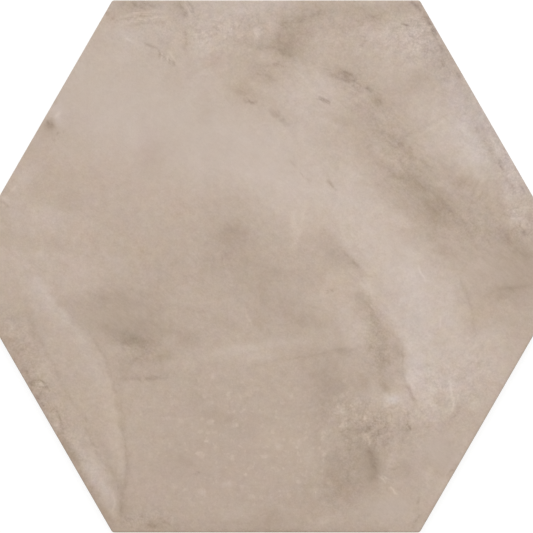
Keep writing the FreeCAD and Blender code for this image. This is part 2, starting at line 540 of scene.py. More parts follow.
GRAIN_CLOUDS = [
    (-52, -32, 10, 7, -20, 0.5),
    (45, -31, 15, 5, 97, 0.8),
    (56, 92, 12, 8, 0, 0.3),
    (70, -74, 8, 7, -60, -0.5),
    (50, -97, 10, 4, 10, -0.5),
    (42, -79, 5, 8, 0, -0.9),
    (-10, -74, 42, 26, 0, -0.15),
    (96, 2, 14, 12, 0, -0.45),
    (66, 28, 12, 8, -40, -0.4),
    (-58, -22, 14, 8, 0, -0.4),
    (55, 5, 14, 6, -50, -0.25),
    (-84, -94, 12, 6, -60, 0.3),
    (-48, -103, 12, 4, 0, 0.6),
]

GROUND_STREAK = 0.45
STREAK_SWEEPS = {
    "right of the arc": (1, [(10, 84, 8, 0.4), (34, 74, 10, 0.6), (54, 46, 14, 0.9), (72, 26, 14, 1.0), (98, 2, 14, 0.6)]),
    "middle": (1, [(-75, -14, 10, 0.5), (-50, -26, 12, 0.7), (-10, 14, 14, 0.3), (20, -14, 12, 0.2)]),
    "arc": (1, [(26, 12, 5, 0.4), (46, -24, 7, 0.9), (56, -46, 7, 0.6)]),
    "smooth field": (1, [(-80, 70, 22, -0.2), (-40, 58, 20, -0.25)]),
    "speckled bottom": (1, [(-50, -80, 18, -0.35), (-14, -72, 28, -0.4), (20, -76, 14, -0.4)]),
}

GROUND_SPOTS = 0.15
SPOT_CLOUDS = [
    (-8, -74, 42, 30, 0, 0.9),
    (22, -80, 14, 12, 0, 0.5),
    (32, -60, 9, 14, 0, 1.0),
    (60, -62, 16, 10, 0, 0.5),
    (-22, 94, 14, 7, 10, 1.3),
    (-92, -40, 10, 8, -60, 0.6),
    (100, 18, 8, 4, -60, 0.8),
]

GROUND_CELLS = 0.0
CELL_CLOUDS = [
    (-21, 94, 13, 9, 15, 1.1),
    (-4, 97, 9, 7, 0, 0.7),
    (43, -63, 12, 12, 0, 1.0),
    (27, -66, 7, 10, 0, 0.5),
    (49, -80, 6, 8, 0, 0.4),
    (56, -60, 8, 7, 0, 0.8),
    (66, -50, 8, 7, 0, 0.5),
    (84, -44, 8, 8, 0, 0.4),
    (-52, -35, 8, 5, -20, 0.7),
    (60, 92, 8, 10, -60, 0.6),
    (72, 82, 12, 4, -60, 0.8),
    (96, 42, 20, 3, -60, 0.7),
    (101, 20, 7, 4, -60, 1.0),
    (-96, -40, 18, 6, -60, 0.7),
    (-82, -68, 14, 3.5, -60, 0.7),
    (32, 77, 10, 4, -30, 0.5),
    (-24, -96, 40, 10, 0, 0.25),
]

GROUND_FEATHER = 0.0
FEATHER_CLOUDS = [
    (86, 31, 13, 8, -35, 1.0),
    (66, 60, 12, 9, 20, 0.35),
    (50, 88, 14, 10, 0, 0.5),
    (47, -34, 10, 4, 95, 0.5),
    (84, -36, 12, 10, 60, 0.6),
    (-2, 80, 14, 9, 0, 0.5),
]

GROUND_LILAC = -0.05
LILAC_SWEEPS = {
    "upper right edge": (1, [(66, 104, 7, 0.5), (76, 78, 10, 0.9), (89, 55, 10, 1.2), (104, 34, 7, 0.8)]),
    "top": (1, [(-66, 108, 7, 0.4), (-20, 108, 9, 0.7), (10, 108, 6, 0.6)]),
    "right streak": (1, [(58, 2, 5, 0.3), (61, -16, 5, 0.8), (60, -38, 5, 0.6), (70, -50, 6, 0.4)]),
    "upper field": (1, [(-80, 70, 20, 0.3), (-40, 60, 24, 0.34), (0, 46, 14, 0.2)]),
    "trowel edge": (1, [(-100, 0, 3, 0.2), (-88, -13, 4, 0.6), (-76, -25, 3, 0.5), (-68, -38, 2, 0.1)]),
    "pale strip": (1, [(-78, -72, 3, 0.3), (-70, -84, 3.5, 0.5), (-63, -97, 2.5, 0.3)]),
    "warm left": (1, [(-95, 40, 10, -0.2), (-60, 38, 8, -0.35), (-35, 26, 8, -0.35)]),
}
LILAC_CLOUDS = [
    (82, 55, 12, 8, -50, 0.3),
    (-50, 93, 10, 4, 0, 0.4),
    (-26, 95, 4, 4, 0, 0.4),
    (20, 67, 4, 8, 0, 0.5),
    (33, 26, 5, 3, 0, 0.5),
    (74, -22, 4, 3, 0, 0.5),
    (76, -47, 6, 3, 0, 0.5),
    (51, -54, 3, 2, 0, 0.9),
    (56, 97, 5, 7, 0, 0.5),
    (-93, 50, 3, 3, 0, 0.4),
    (-52, -30, 10, 6, 0, 0.3),
    (38, -80, 9, 9, 0, 0.3),
    (28, -9, 8, 7, 0, -0.6),
    (20, 18, 12, 7, 0, -0.4),
    (53, 17, 6, 5, 0, -0.4),
    (-9, 72, 9, 7, 0, -0.6),
    (70, -74, 8, 7, -60, 0.4),
    (50, -97, 10, 4, 10, 0.4),
    (-54, 92, 9, 4, -10, 0.4),
    (-65, -60, 18, 10, -20, -0.4),
    (8, -76, 9, 9, 0, -0.35),
    (88, -18, 10, 5, 30, -0.35),
    (-50, 6, 12, 5, 0, -0.3),
    (24, -48, 7, 9, 0, 0.3),
    (4, -42, 14, 10, 0, -0.2),
    (-74, 8, 12, 10, 0, -0.2),
    (61, 91, 6, 7, 0, 0.35),
    (101.5, 20.5, 4, 3, 0, 0.45),
    (-84, 62, 4, 5, 60, 0.3),
]

# Steps by which red goes up against green, and green down against blue
PINK_CLOUDS = [
    (-60, 80, 26, 22, -20, -0.4),
    (-30, 60, 24, 14, -20, -0.4),
    (33, 26, 5, 2.4, 0, -0.8),
    (-38, -3, 9, 5, 0, 0.6),
    (-6, -66, 5, 8, 0, 0.5),
    (-56, -26, 13, 8, -10, -0.8),
    (35, -76, 12, 12, 0, -0.7),
    (84, 54, 13, 10, -50, -0.6),
    (62, 34, 8, 5, -40, -0.8),
    (69, 25, 7, 4, -40, -0.9),
    (-43, -37, 6, 3, 0, -0.9),
    (61, -26, 5, 20, 0, -0.2),
    (-92, 42, 9, 5, 0, 0.9),
    (-62, 36, 16, 7, -15, 1.0),
    (-36, 26, 12, 6, -20, 0.9),
    (-76, 8, 9, 16, 0, 0.8),
    (-20, -86, 26, 9, 5, 0.8),
    (-48, -90, 8, 6, 0, 0.8),
    (20, 12, 8, 6, 0, 0.7),
    (-48, 50, 5, 9, 0, 1.2),
    (66, 70, 5, 3, 20, 0.9),
    (12, 86, 8, 3, 0, -0.7),
    (74, -63, 7, 2.5, 10, 1.0),
    (62, -78, 3, 6, 0, 0.8),
    (-22, 83, 7, 2, 0, 1.2),
    (40, 94, 8, 6, 0, 0.6),
]

DARK_STROKES = [
    (0.6, 14, [(-55, 107.3), (-51.5, 105.2), (-49, 104.6)]),
    (0.6, 13, [(-50, 106.5), (-47.5, 106), (-44.5, 104.8)]),
    (1.1, 20, [(-35.5, 108), (-33.6, 104.5), (-32.3, 100.8)]),
    (0.6, 20, [(-32.2, 107.5), (-29.8, 104.5), (-28.6, 101.5)]),
    (0.6, 9, [(-62, 99.3), (-56, 100.4), (-50, 101.6), (-41, 102.2)]),
    (0.6, 8, [(-56, 97.4), (-49, 98.6), (-40, 99.2)]),
    (0.6, 16, [(-66, 104.5), (-63.4, 101)]),
    (0.7, 16, [(-63.2, 100.8), (-61.6, 99.7)]),
    (0.8, 15, [(-49.8, 91), (-46.5, 89.5), (-42.6, 87.4)]),
    (0.55, 24, [(-43.4, 88), (-43, 84)]),
    (0.5, 20, [(-41.3, 86.6), (-41.3, 83)]),
    (0.5, 19, [(-39.5, 85.2), (-38.8, 81.6)]),
    (0.5, 16, [(-37.8, 84), (-36.8, 81)]),
    (0.6, 9, [(-40.5, 81.8), (-35.5, 81)]),
    (0.7, 8, [(-50, 81.2), (-48, 81.3)]),
    (0.6, 10, [(-33, 97), (-32, 92), (-33.5, 86)]),
    (1.6, 8, [(-13.5, 73.5), (-10, 70), (-6, 67.5)]),
    (0.9, 21, [(-9.5, 68), (-6.5, 66.9), (-3.2, 66.4)]),
    (1.4, 14, [(1, 64.5), (4.5, 61), (10, 57)]),
    (0.7, 11, [(-2.5, 81.2), (3, 81.9), (8.5, 81.1)]),
    (0.5, 9, [(-6, 78.5), (0, 77.6), (3.5, 75)]),
    (1.3, 8, [(-9, 89.5), (5, 88.6)]),
    (1.0, 9, [(4.5, 97), (5.4, 91), (5.2, 86)]),
    (0.9, 10, [(5, 87), (9, 85.4), (12, 86)]),
    (0.7, 9, [(5, 98.5), (10, 99.5), (14, 98)]),
    (0.7, 10, [(17.5, 82.7), (21, 82)]),
    (0.5, 7, [(20, 82), (24, 80.3), (27, 79)]),
    (0.8, 12, [(25.5, 78.6), (28, 77.2), (30, 76.2)]),
    (0.9, 17, [(29.6, 76.6), (32, 75.4), (34, 74.4)]),
    (0.9, 16, [(30.6, 79.2), (33, 78.3), (35.4, 77.5)]),
    (0.5, 14, [(31.5, 77.4), (34, 76.3)]),
    (0.5, 9, [(34.5, 76.2), (38, 73.2), (41, 72)]),
    (0.4, 8, [(34, 73.5), (37.5, 71.4)]),
    (0.8, 21, [(40.4, 72.4), (43, 71)]),
    (0.75, 32, [(20.2, 68.8), (23, 67.5), (26.3, 65.8)]),
    (0.8, 10, [(43.2, 67.6), (48, 66.6)]),
    (0.75, 26, [(54.6, 98.1), (56.6, 98), (58, 97.4)]),
    (0.4, 14, [(37.6, 89.6), (39.4, 89.2)]),
    (0.35, 9, [(38.6, 91.6), (41.2, 91.2)]),
    (1.2, 10, [(50, 54), (53, 50.5), (56.5, 49)]),
    (1.0, 9, [(56, 47), (61, 43)]),
    (0.9, 9, [(62, 43.5), (68, 39.5)]),
    (1.2, 10, [(50, 37), (57, 36)]),
    (1.4, 9, [(57, 36), (61, 33.5), (66, 29)]),
    (1.6, 9, [(63, 28), (68, 24), (71, 21)]),
    (1.0, 10, [(68, 30), (72, 25.6), (76, 22)]),
    (0.7, 17, [(73.6, 23.2), (76.6, 21.8)]),
    (0.6, 5, [(55, 52), (64, 56.5), (75, 62.5)]),
    (1.2, 8, [(85, 56.8), (87, 53.4)]),
    (0.9, 8, [(87.4, 51.2), (89.6, 50.4)]),
    (0.9, 11, [(90.6, 48.5), (92.4, 45)]),
    (0.7, 19, [(93.6, 43.4), (95, 41), (96.2, 39)]),
    (0.5, 14, [(95, 43.2), (96, 41.4)]),
    (0.6, 8, [(97.4, 36), (99.4, 33), (101.5, 29)]),
    (0.5, 11, [(97, 45.5), (99, 41.5)]),
    (0.5, 12, [(102.6, 33.5), (105.5, 29.5)]),
    (0.8, 11, [(102.5, 15.5), (107, 12)]),
    (0.6, 8, [(97.5, 23.5), (103, 24)]),
    (0.7, 6, [(-73, -25), (-65.5, -36.5), (-62, -47.5), (-59.8, -58.5)]),
    (0.6, 6, [(-59.4, -60), (-57.4, -70), (-56.4, -79), (-56.6, -86)]),
    (1.0, 8, [(-56.5, -85), (-59, -95), (-58, -106)]),
    (0.7, 4, [(-93, -27), (-83, -46), (-74.5, -63)]),
    (0.8, 8, [(-74.5, -63), (-66, -80), (-61.5, -91)]),
    (0.7, 18, [(24.4, 35.4), (26.4, 33), (28.7, 30.6)]),
    (0.5, 9, [(9, 43.5), (12, 40.5)]),
    (0.5, 12, [(13.5, 38.2), (15.4, 36)]),
    (0.7, 12, [(16, 35.6), (18.5, 34.4)]),
    (1.0, 10, [(31, 7), (35, 3), (38.5, -2.6)]),
    (1.4, 6, [(40, -14), (43, -20), (46, -26), (48, -32)]),
    (0.6, 12, [(41, -14.5), (42.6, -17), (43.4, -19)]),
    (0.35, 7, [(44.2, -34.5), (44.6, -39)]),
    (0.35, 7, [(46, -35), (46, -39.6)]),
    (0.35, 7, [(47.7, -35), (48, -41)]),
    (0.35, 6, [(49.4, -35.6), (50, -40.4)]),
    (0.9, 30, [(64.8, 101.5), (67.4, 96.6), (69, 93.2)]),
    (0.7, 15, [(68.6, 93), (69.4, 90.5)]),
    (0.9, 20, [(58, 108), (61, 105.4), (63, 103.2)]),
    (0.7, 11, [(70, 91), (71.6, 87), (74, 84)]),
    (0.6, 17, [(70.8, 84), (72.6, 80.8)]),
    (0.5, 13, [(74, 79.5), (75.2, 77.4)]),
    (0.5, 11, [(70.5, 76), (73.5, 75.4)]),
    (0.5, 12, [(76.5, 80), (78.5, 76)]),
    (0.5, 9, [(55.2, -31), (55.4, -43), (56.5, -47)]),
    (0.7, 19, [(56.6, -47.8), (58.8, -51.5), (60.6, -55)]),
    (0.5, 12, [(57.2, -58.4), (57.8, -62), (58, -64)]),
    (0.55, 26, [(57.4, -62), (58.6, -66.8)]),
    (0.35, 9, [(57, -63.5), (55.3, -64.8), (55.6, -66.8), (57.6, -66.8)]),
    (0.35, 6, [(50.5, -63.5), (52.5, -61.5), (54.5, -63)]),
    (0.8, 11, [(77.2, -56), (78.6, -58.6)]),
    (0.6, 8, [(74, -61.6), (77, -60.4), (80, -57)]),
    (1.4, 16, [(41, -73), (43.4, -78), (44.2, -83), (43, -87.5)]),
    (0.9, 17, [(40.6, -67), (43.6, -63.6), (45, -60)]),
    (0.4, 12, [(42, -68), (47.5, -68.4)]),
    (0.4, 8, [(49, -82), (52, -82.5), (54.5, -81)]),
    (0.7, 15, [(61, -97), (62.5, -93)]),
    (0.7, 14, [(59, -106), (62.8, -100)]),
    (0.5, 12, [(73, -85), (77.5, -80)]),
    (0.9, 12, [(-60, -45.5), (-50, -45.6), (-38, -45)]),
    (0.6, 21, [(-94.6, -45.8), (-92, -46.2), (-89.2, -47.8), (-87.8, -50.6)]),
    (0.6, 18, [(-92, -48.4), (-89.6, -49.6)]),
    (0.7, 22, [(-96, -46.4), (-94.4, -48.4)]),
    (0.8, 24, [(-92.8, -52.2), (-91.6, -54.2)]),
    (0.6, 20, [(-91, -54.8), (-89.4, -58)]),
    (0.6, 14, [(-98.5, -40), (-96, -43.5)]),
    (0.7, 14, [(-86, -56), (-83, -63), (-82, -69)]),
    (0.7, 17, [(-73.4, -61.5), (-71.9, -62)]),
    (0.5, 10, [(-73, -64.5), (-72.6, -65.5)]),
    (0.5, 5, [(6, -38), (20, -36), (33, -32.5)]),
    (0.8, 18, [(-28.6, -83.2), (-26.7, -84.4)]),
    (0.8, 14, [(-48, -105), (-43.5, -106)]),
    (0.6, 12, [(-58, -101.5), (-50, -104.5)]),
    (0.6, 12, [(-42.5, -103), (-36.5, -106)]),
    (0.5, 8, [(-52, -101), (-46, -102.5)]),
    (0.5, 10, [(-18, 5), (-16.5, -2)]),
    (0.5, 9, [(-75.5, -69.5), (-71, -67.5)]),
    (0.45, 17, [(24.2, -8.8), (27.6, -10.6)]),
    (0.4, 12, [(24.2, -11), (27, -9.6)]),
    (1.2, 8, [(12, 99), (25, 104.5)]),
    (1.2, 8, [(37, 100.5), (50, 103)]),
    (1.4, 9, [(91, 15), (98, 11), (106, 2)]),
    (0.9, 7, [(91, -9.5), (107, -8)]),
    (0.6, 7, [(78.5, -4), (83, -16), (84.6, -27)]),
    (0.6, 20, [(-89, 59.4), (-88, 57), (-87.2, 55.8)]),
    (0.5, 15, [(-87.6, 59.4), (-86.2, 56.6)]),
    (0.6, 10, [(-87.6, 66.4), (-86, 68.5)]),
    (0.6, 20, [(-82.6, 54.4), (-81.2, 54.2)]),
    (0.5, 18, [(-84.8, 54.2), (-83.9, 53.6)]),
    (0.5, 18, [(-83.8, 52.7), (-83, 52.4)]),
    (0.5, 10, [(-87, 51.6), (-84.6, 50.8)]),
    (0.7, 12, [(-108, 27), (-104, 24)]),
    (1.6, 5, [(24, -59), (24.6, -64.5)]),
]
PALE_STROKES = [
    (0.9, 5, [(-74.5, -25), (-67, -36.5), (-63.6, -47.5), (-61.6, -58.5), (-59.4, -70), (-58, -80)]),
    (0.9, 4, [(-95, -4), (-91, -9), (-85, -16), (-79, -21)]),
    (0.9, 5, [(14.8, 22.5), (14.6, 17), (12.5, 11), (10, 6.6)]),
    (0.7, 4, [(57, -44), (59, -48.5), (61.5, -52)]),
    (0.7, 3, [(60, 52), (66, 55.5), (74, 60)]),
    (0.7, 6, [(88, 58), (92, 51), (95.5, 44.5)]),
    (0.4, 7, [(-33.8, 108), (-31.5, 104.8), (-30.8, 101.5)]),
    (0.6, 9, [(-60, 100.8), (-54, 102.4), (-48, 103.4), (-41, 103.6)]),
    (0.6, 9, [(-58, 98.6), (-52, 99.6), (-46, 100.8), (-40, 100.8)]),
    (0.7, 6, [(-59, 95.5), (-57, 93), (-54.5, 91.5), (-51.5, 89.8)]),
    (0.45, 14, [(-42.3, 87), (-42.2, 83.5)]),
    (0.45, 12, [(-40.3, 86), (-40, 82.6)]),
    (0.6, 11, [(-40.5, 87.4), (-38.2, 85.6), (-36.4, 83)]),
    (0.5, 10, [(61.5, 1), (63, -3), (65.4, -6.6)]),
    (0.6, 11, [(74.6, -46), (75, -50), (76.2, -54), (75.6, -57.6), (73.4, -61.3)]),
    (0.5, 24, [(38.8, -68), (40.6, -68.6), (42.2, -70.4), (41.6, -73)]),
    (0.4, 14, [(40.6, -68.6), (39.6, -70.4)]),
    (0.5, 18, [(45.2, -84.6), (48.6, -87.6)]),
    (0.5, 17, [(49.6, -89), (53.2, -92.6)]),
    (0.4, 13, [(46.5, -84.4), (50.6, -86.8)]),
    (0.6, 4, [(-60.5, -68), (-59.5, -78), (-60.5, -88)]),
    (0.5, 8, [(-61.9, -91), (-61.6, -96), (-62.2, -101)]),
    (0.4, 8, [(20.5, 69.8), (25.5, 67.8)]),
    (0.5, 7, [(-17.4, 5), (-16, -3.5)]),
    (0.5, 6, [(-9, -17.5), (-5.5, -24)]),
    (0.9, 8, [(-93.4, -41), (-92.6, -44.8)]),
    (0.45, 15, [(-92.2, -47.3), (-89.6, -48.9)]),
    (0.5, 10, [(-93.2, -50.6), (-92.4, -51.6)]),
    (0.9, 9, [(-85.5, -63), (-84, -66.5)]),
    (0.6, 8, [(-86, 60.5), (-82.5, 63)]),
    (0.7, 9, [(-104, 30), (-101, 33)]),
    (0.5, 9, [(49.5, -80.3), (51.5, -81.5)]),
    (0.6, 8, [(70.4, -25), (71, -21)]),
    (0.5, 7, [(-7.5, 97), (-5, 95), (-3, 92.5)]),
]


def shifted(x, y, amount, cell, octaves, seed):
    """Points shifted to and fro by up to about amount, by fractal noise."""
    return x + amount * fractal(x, y, cell, octaves, seed), y + amount * fractal(x, y, cell, octaves, seed + 10)


def face_layers(x, y):
    """Values of every layer of paint on the face, by the name of the attribute that holds it.

    The points are shifted to and fro by noise first, which feathers the strokes. Where the streak layer is
    strong they are also shifted along the brushed direction, by noise that is drawn out that way.
    """
    at_x, at_y = shifted(*shifted(x, y, WIDE_SHIFT, 22.0, 3, 11), FINE_SHIFT, 5.0, 3, 12)
    streak = painted(at_x, at_y, GROUND_STREAK, STREAK_SWEEPS, [])
    pull = PULL * np.clip(streak - PULL_FROM, 0, 1) * smoke(x, y, BRUSHED, 5.0, 1.8, 71)
    at_x = at_x + pull * math.cos(math.radians(BRUSHED))
    at_y = at_y + pull * math.sin(math.radians(BRUSHED))
    grain = painted(at_x, at_y, GROUND_GRAIN, GRAIN_SWEEPS, GRAIN_CLOUDS)
    tone = painted(at_x, at_y, GROUND_TONE, TONE_SWEEPS, TONE_CLOUDS)
    tone += (0.4 + 0.6 * grain) * MOTTLE * fractal(x, y, 10.0, 4, 31, 0.8)
    tone += streak * SMOKE * smoke(at_x, at_y, BRUSHED, 2.6, 7.0, 61)
    spots = painted(at_x, at_y, GROUND_SPOTS, {}, SPOT_CLOUDS)
    cells = painted(at_x, at_y, GROUND_CELLS, {}, CELL_CLOUDS)
    feather = painted(at_x, at_y, GROUND_FEATHER, {}, FEATHER_CLOUDS)
    lilac = painted(at_x, at_y, GROUND_LILAC, LILAC_SWEEPS, LILAC_CLOUDS)
    lilac += 0.35 * fractal(x, y, 16.0, 4, 41, 0.8)
    pink = painted(at_x, at_y, 0.0, {}, PINK_CLOUDS) + 0.5 * fractal(x, y, 14.0, 5, 81, 0.9)
    frayed = shifted(x, y, 0.7, 3.5, 2, 91)
    thickness = 1 + 0.7 * fractal(x, y, 4.0, 2, 95)
    dark, dark_strength = scratched(*frayed, thickness, DARK_STROKES)
    pale, pale_strength = scratched(*frayed, thickness, PALE_STROKES)
    return {
        "tone": tone,
        "grain": grain,
        "streak": streak,
        "spots": spots,
        "cells": cells,
        "feather": feather,
        "lilac": lilac,
        "pink": pink,
        "dark": dark,
        "dark_strength": dark_strength,
        "pale": pale,
        "pale_strength": pale_strength,
    }


def face_depth(x, y, half_flats):
    """Depth of the face under its highest plane, in millimetres.

    It is the slow waves of the pressed powder, the marks of the trowel, of which the pale ones stand up and
    the dark ones are sunk, pits where the grain is coarse, and chips along the arris.
    """
    waves = 0.05 * (1 + fractal(x, y, 45.0, 4, 51))
    raised = sum(sweep(x, y, *TONE_SWEEPS[name]) for name in RAISED_SWEEPS)
    sunk = sum(sweep(x, y, *TONE_SWEEPS[name]) for name in SUNK_SWEEPS)
    dark, strength = scratched(x, y, 1.6, DARK_STROKES)
    scratch = strength * np.exp(-dark * dark)
    grain = painted(x, y, GROUND_GRAIN, GRAIN_SWEEPS, GRAIN_CLOUDS)
    pits = np.clip(grain - 0.8, 0, 1) * np.clip(fractal(x, y, 3.4, 2, 55) - 0.1, 0, 1)
    angles = (2 * np.arange(SIDES) + 1) * HALF_TURN
    inside = half_flats - np.max([x * math.cos(a) + y * math.sin(a) for a in angles], axis=0)
    chips = np.exp(-((inside / 1.3) ** 2)) * np.clip(fractal(x, y, 9.0, 4, 57, 0.8) - 0.2, 0, 0.4)
    depth = waves - 0.006 * raised - 0.006 * sunk + 0.002 * scratch + 0.12 * pits + 0.25 * chips
    return np.maximum(depth + 0.02, 0)


# Sweeps of the tone that also stand up from the face, and those that are sunk in it
RAISED_SWEEPS = ("trowel edge", "ridge", "pale strip", "pale hook")
SUNK_SWEEPS = ("painted shade beside the trowel edge", "under the ridge", "inside the left edge", "lower left rim and its painted shade")


# Shapes


def hexagon(half_flats):
    """Corners of a regular hexagon with two corners on the X axis, half_flats from its centre to a flat."""
    angles = 2 * HALF_TURN * np.arange(SIDES)
    return half_flats * REACH * np.stack([np.cos(angles), np.sin(angles)], axis=1)


def rounded_path(half_flats, radius, straight_steps, corner_steps):
    """Points and outward directions along a hexagon that is radius inside the one of half_flats.

    A point plus its direction times the radius lies on the rounded hexagon. Along a side the point moves in
    straight_steps and the direction stays, and at a corner the point stays and the direction turns.
    """
    corners = hexagon(half_flats - radius)
    t = np.linspace(0, 1, straight_steps + 1)[None, :, None]
    here = corners[:, None, :]
    there = np.roll(corners, -1, axis=0)[:, None, :]
    along_side = here + t * (there - here)
    at_corner = np.repeat(there, corner_steps - 1, axis=1)
    points = np.concatenate([along_side, at_corner], axis=1).reshape(-1, 2)
    side_angle = (2 * np.arange(SIDES)[:, None] + 1) * HALF_TURN
    steady = np.repeat(side_angle, straight_steps + 1, axis=1)
    turning = side_angle + 2 * HALF_TURN * np.arange(1, corner_steps)[None, :] / corner_steps
    angle = np.concatenate([steady, turning], axis=1).reshape(-1)
    return points, np.stack([np.cos(angle), np.sin(angle)], axis=1)


def carried(points, directions, radius, profile):
    """A profile of (inset, height) rows carried along a path: point plus direction times radius less inset."""
    inset, height = np.array(profile).T
    xy = points[None] + (radius - inset)[:, None, None] * directions[None]
    z = np.repeat(height[:, None], len(points), axis=1)
    return np.concatenate([xy, z[..., None]], axis=2)


def quarter_turn(start, end, steps):
    """Rows of a quarter ellipse that leaves start level, inwards or outwards, and meets end upright."""
    a = np.linspace(0, math.pi / 2, steps + 1)
    inset = start[0] + (end[0] - start[0]) * np.sin(a)
    height = start[1] + (end[1] - start[1]) * (1 - np.cos(a))
    return list(zip(inset, height))


def lattice_corners(rings):
    """Ring, side and step of each corner of a hexagonal lattice, ring by ring outwards from its middle."""
    ring = np.repeat(np.arange(1, rings + 1), SIDES * np.arange(1, rings + 1))
    place = np.arange(len(ring)) - 3 * ring * (ring - 1)
    return ring, place // ring, place % ring


def lattice_points(rings, half_flats):
    """Corners of a hexagonal lattice: the middle, then on each ring the sides of a hexagon in equal steps."""
    ring, side, step = lattice_corners(rings)
    corners = hexagon(half_flats)
    share = (step / ring)[:, None]
    on_side = corners[side] * (1 - share) + corners[(side + 1) % SIDES] * share
    return np.concatenate([np.zeros((1, 2)), on_side * (ring / rings)[:, None]])


def lattice_number(ring, place):
    """Number of the corner at a place, counted round its ring, where place ring times six is place 0 again."""
    return np.where(ring == 0, 0, 1 + 3 * ring * (ring - 1) + place % np.maximum(SIDES * ring, 1))


def lattice_triangles(rings):
    """Triangles of a hexagonal lattice: between two rings one stands on each outer step, one on each inner."""
    ring, side, step = lattice_corners(rings)
    outer = side * ring + step
    inner = side * (ring - 1) + step
    outward = np.stack([
        lattice_number(ring, outer),
        lattice_number(ring, outer + 1),
        lattice_number(ring - 1, inner),
    ], axis=1)
    inward = np.stack([
        lattice_number(ring - 1, inner),
        lattice_number(ring, outer + 1),
        lattice_number(ring - 1, inner + 1),
    ], axis=1)[step < ring - 1]
    return np.concatenate([outward, inward])


def loop_quads(rows, count, start):
    """Quads between the rows of a closed grid of rows by count corners, numbered from start."""
    row, column = np.meshgrid(np.arange(rows - 1), np.arange(count), indexing="ij")
    beside = (column + 1) % count
    a = start + row * count + column
    b = start + row * count + beside
    return np.stack([a, a + count, b + count, b], axis=-1).reshape(-1, 4)


# The back


RIM_BULGE = 0.01


def pocket_layout(sizes):
    """Middles of the keying pockets and, for each pocket, how far its walls and the rim's edge are from it.

    The pockets are a honeycomb with one in the middle. Where the rim's inner edge cuts a pocket, its middle
    moves half way between that edge and the pocket's far side, and a pocket that keeps too little goes.
    """
    pitch = sizes.pocket_pitch
    half_pocket = (pitch - sizes.rib_width) / 2
    half_field = sizes.half_flats - sizes.wall_slope_inset - sizes.rim_width
    reach = int(half_field * REACH / pitch) + 2
    row, column = (a.reshape(-1) for a in np.mgrid[-reach:reach + 1, -reach:reach + 1])
    middle = np.stack([(column + 0.5 * (row % 2)) * pitch, row * pitch * math.sin(2 * HALF_TURN)], axis=1)
    rim_angle = (2 * np.arange(SIDES) + 1) * HALF_TURN
    wall_angle = 2 * HALF_TURN * np.arange(SIDES)
    rim_out = np.stack([np.cos(rim_angle), np.sin(rim_angle)], axis=1)
    wall_out = np.stack([np.cos(wall_angle), np.sin(wall_angle)], axis=1)
    moved = middle.copy()
    for out in rim_out:
        past = middle @ out + half_pocket * REACH - half_field
        moved -= 0.5 * np.maximum(past, 0)[:, None] * out
    walls = half_pocket - (moved - middle) @ wall_out.T
    edges = half_field - moved @ rim_out.T
    distances = np.concatenate([walls, edges], axis=1)
    angles = np.concatenate([wall_angle, rim_angle])
    inside = distances.min(axis=1) > 0
    whole = inside & (np.linalg.norm(moved - middle, axis=1) == 0)
    return moved, distances, angles, inside, whole


def pocket_reach(distances, angles, directions, inset, roundness):
    """Distance from a pocket's middle to its wall in each direction.

    It is that to the nearest of the straight walls, each its distance less the inset, over the cosine of the
    angle to it. The walls are joined by a power mean, which rounds the corners.
    """
    cosine = np.cos(directions[None, :] - angles[:, None])
    nearness = np.maximum(cosine, 0)[None] / (distances - inset)[:, :, None]
    return (nearness**roundness).sum(axis=1) ** (-1 / roundness)


# Materials


def srgb(red, green, blue):
    """Linear colour of an 8-bit display colour."""
    share = np.array([red, green, blue]) / 255
    linear = np.where(share <= 0.04045, share / 12.92, ((share + 0.055) / 1.055) ** 2.4)
    return tuple(float(v) for v in linear)


# Brightness steps and colours of the glaze, from its darkest clouds to its palest ones
SHADES = [
    (140, srgb(151.3, 130.7, 112.5)),
    (150, srgb(162, 142.2, 124.3)),
    (160, srgb(172.8, 153.1, 136.2)),
    (175, srgb(188.7, 170.1, 154.6)),
    (192, srgb(205.5, 189, 177)),
    (210, srgb(223.5, 208.5, 199)),
]
TONE_RANGE = (140, 210)

# What each adds to the red, green and blue, as a share of them: a step of brightness that keeps the hue of the
# cloud under it, a full amount of lilac, and a step of pink
GREY_STEP = (0.0129, 0.0145, 0.0159)
LILAC_SHIFT = (-0.015, 0.005, 0.06)
PINK_SHIFT = (0.0026, -0.0116, 0.0032)


